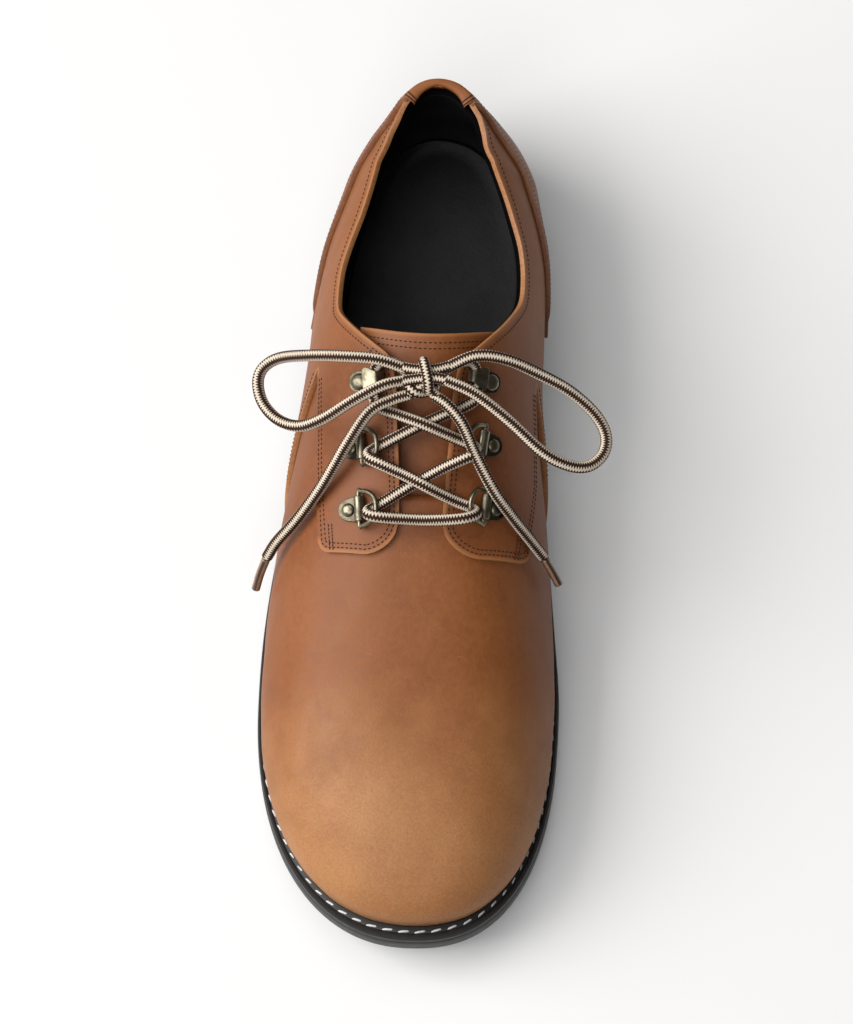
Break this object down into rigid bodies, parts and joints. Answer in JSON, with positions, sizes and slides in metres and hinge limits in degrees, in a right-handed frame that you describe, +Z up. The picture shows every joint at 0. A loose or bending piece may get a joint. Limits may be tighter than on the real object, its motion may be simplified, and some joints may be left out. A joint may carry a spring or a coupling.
{
  "type": "derby shoe",
  "caption": "Plain-toe leather derby shoe for the right foot with open lacing, ring eyelets, lace hooks, a tied bow, and a welted rubber sole with a low heel.",
  "frame": {"origin": "middle of the shoe's length and width, on the floor under the sole", "axes": "+Z up, +Y from toe to heel along the shoe, +X to the medial side"},
  "size_m": [0.1213, 0.3, 0.0973],
  "materials": {
    "tan_leather": "waxed pull-up leather with light creases",
    "black_leather": "matt lining leather",
    "black_rubber": "matt rubber",
    "brass": "antique brass",
    "lace": "round braided cord, two colours"
  },
  "bodies": {
    "root": {"outsole": "black_rubber", "heel": "black_rubber", "welt": "black_rubber", "insole": "black_leather", "upper": "tan_leather", "tongue": "tan_leather", "quarter_lateral": "tan_leather", "quarter_medial": "tan_leather", "heel_counter": "tan_leather", "ring_clip_lower_lateral": "brass", "d_ring_lower_lateral": "brass", "ring_clip_lower_medial": "brass", "d_ring_lower_medial": "brass", "ring_clip_middle_lateral": "brass", "d_ring_middle_lateral": "brass", "ring_clip_middle_medial": "brass", "d_ring_middle_medial": "brass", "lace_hook_lateral": "brass", "lace_hook_medial": "brass", "lace_bar": "lace", "lace_cross_lower": "lace", "lace_cross_upper": "lace", "lace_tie": "lace", "lace_knot": "lace", "lace_loop_lateral": "lace", "lace_loop_medial": "lace", "lace_end_lateral": "lace", "lace_end_medial": "lace", "aglet_lateral": "lace", "aglet_medial": "lace"}
  },
  "joints": []
}
